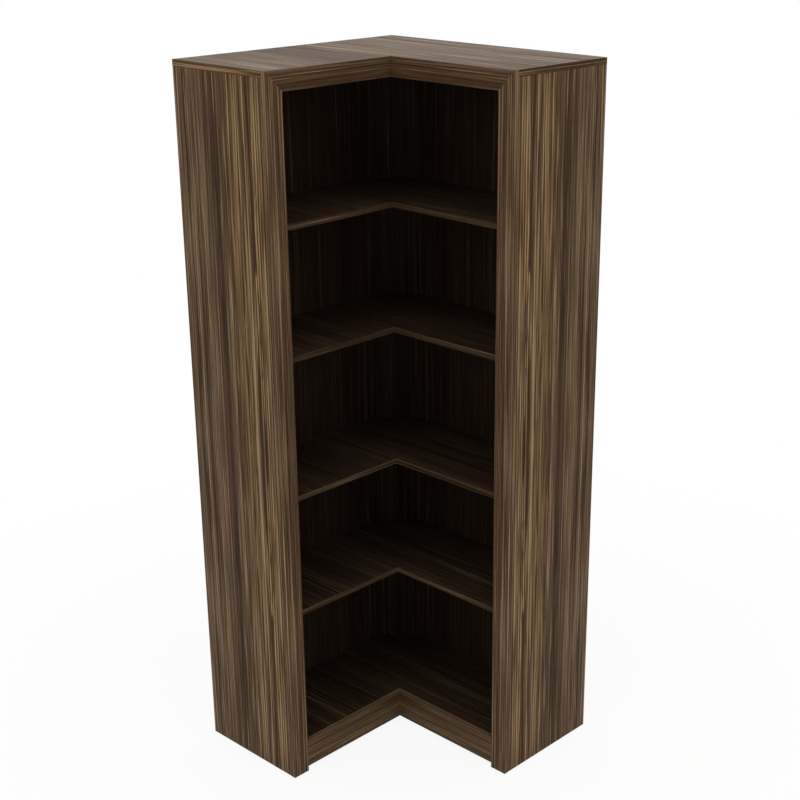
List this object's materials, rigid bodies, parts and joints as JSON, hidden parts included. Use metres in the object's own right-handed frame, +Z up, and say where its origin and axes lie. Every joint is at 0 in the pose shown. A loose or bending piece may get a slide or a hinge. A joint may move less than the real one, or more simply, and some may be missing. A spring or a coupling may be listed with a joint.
{
  "type": "corner shelf unit",
  "caption": "Tall open corner shelf unit: wings at a right angle, joined by fixed L-shaped shelves behind a mitred face frame, for books in a room's corner.",
  "frame": {"origin": "floor level, under the middle of the unit's square outline", "axes": "+Z up; the room's corner is at -X, +Y; the right wing runs along +X with its shelves opening to -Y, and the left wing runs along -Y with its shelves opening to +X"},
  "size_m": [0.715, 0.715, 1.8],
  "materials": {
    "outer_laminate": "satin walnut-grain laminate",
    "inner_laminate": "dark satin walnut-grain laminate",
    "back_sheet": "dark walnut-grain hardboard",
    "zinc": "die-cast, dull",
    "steel": "zinc plated",
    "beech": "bare wood"
  },
  "bodies": {
    "root": {"top_board": "outer_laminate", "bottom_board": "inner_laminate", "shelf_1": "inner_laminate", "shelf_2": "inner_laminate", "shelf_3": "inner_laminate", "shelf_4": "inner_laminate", "corner_back_board": "inner_laminate", "left_end_panel": "outer_laminate", "left_stile": "outer_laminate", "left_top_rail": "outer_laminate", "left_plinth_rail": "outer_laminate", "left_back_sheet": "back_sheet", "right_end_panel": "outer_laminate", "right_stile": "outer_laminate", "right_top_rail": "outer_laminate", "right_plinth_rail": "outer_laminate", "right_back_sheet": "back_sheet", "left_bottom_cam_housing": "zinc", "left_bottom_cam_bolt": "steel", "left_shelf_1_cam_housing": "zinc", "left_shelf_1_cam_bolt": "steel", "left_shelf_1_dowel": "beech", "left_shelf_2_cam_housing": "zinc", "left_shelf_2_cam_bolt": "steel", "left_shelf_2_dowel": "beech", "left_shelf_3_cam_housing": "zinc", "left_shelf_3_cam_bolt": "steel", "left_shelf_3_dowel": "beech", "left_shelf_4_cam_housing": "zinc", "left_shelf_4_cam_bolt": "steel", "left_shelf_4_dowel": "beech", "left_top_cam_housing": "zinc", "left_top_cam_bolt": "steel", "left_stile_tongue": "beech", "left_top_rail_tongue": "beech", "left_plinth_rail_tongue": "beech", "right_bottom_cam_housing": "zinc", "right_bottom_cam_bolt": "steel", "right_shelf_1_cam_housing": "zinc", "right_shelf_1_cam_bolt": "steel", "right_shelf_1_dowel": "beech", "right_shelf_2_cam_housing": "zinc", "right_shelf_2_cam_bolt": "steel", "right_shelf_2_dowel": "beech", "right_shelf_3_cam_housing": "zinc", "right_shelf_3_cam_bolt": "steel", "right_shelf_3_dowel": "beech", "right_shelf_4_cam_housing": "zinc", "right_shelf_4_cam_bolt": "steel", "right_shelf_4_dowel": "beech", "right_top_cam_housing": "zinc", "right_top_cam_bolt": "steel", "right_stile_tongue": "beech", "right_top_rail_tongue": "beech", "right_plinth_rail_tongue": "beech", "bottom_corner_screw": "steel", "shelf_1_corner_screw": "steel", "shelf_2_corner_screw": "steel", "shelf_3_corner_screw": "steel", "shelf_4_corner_screw": "steel"}
  },
  "joints": []
}
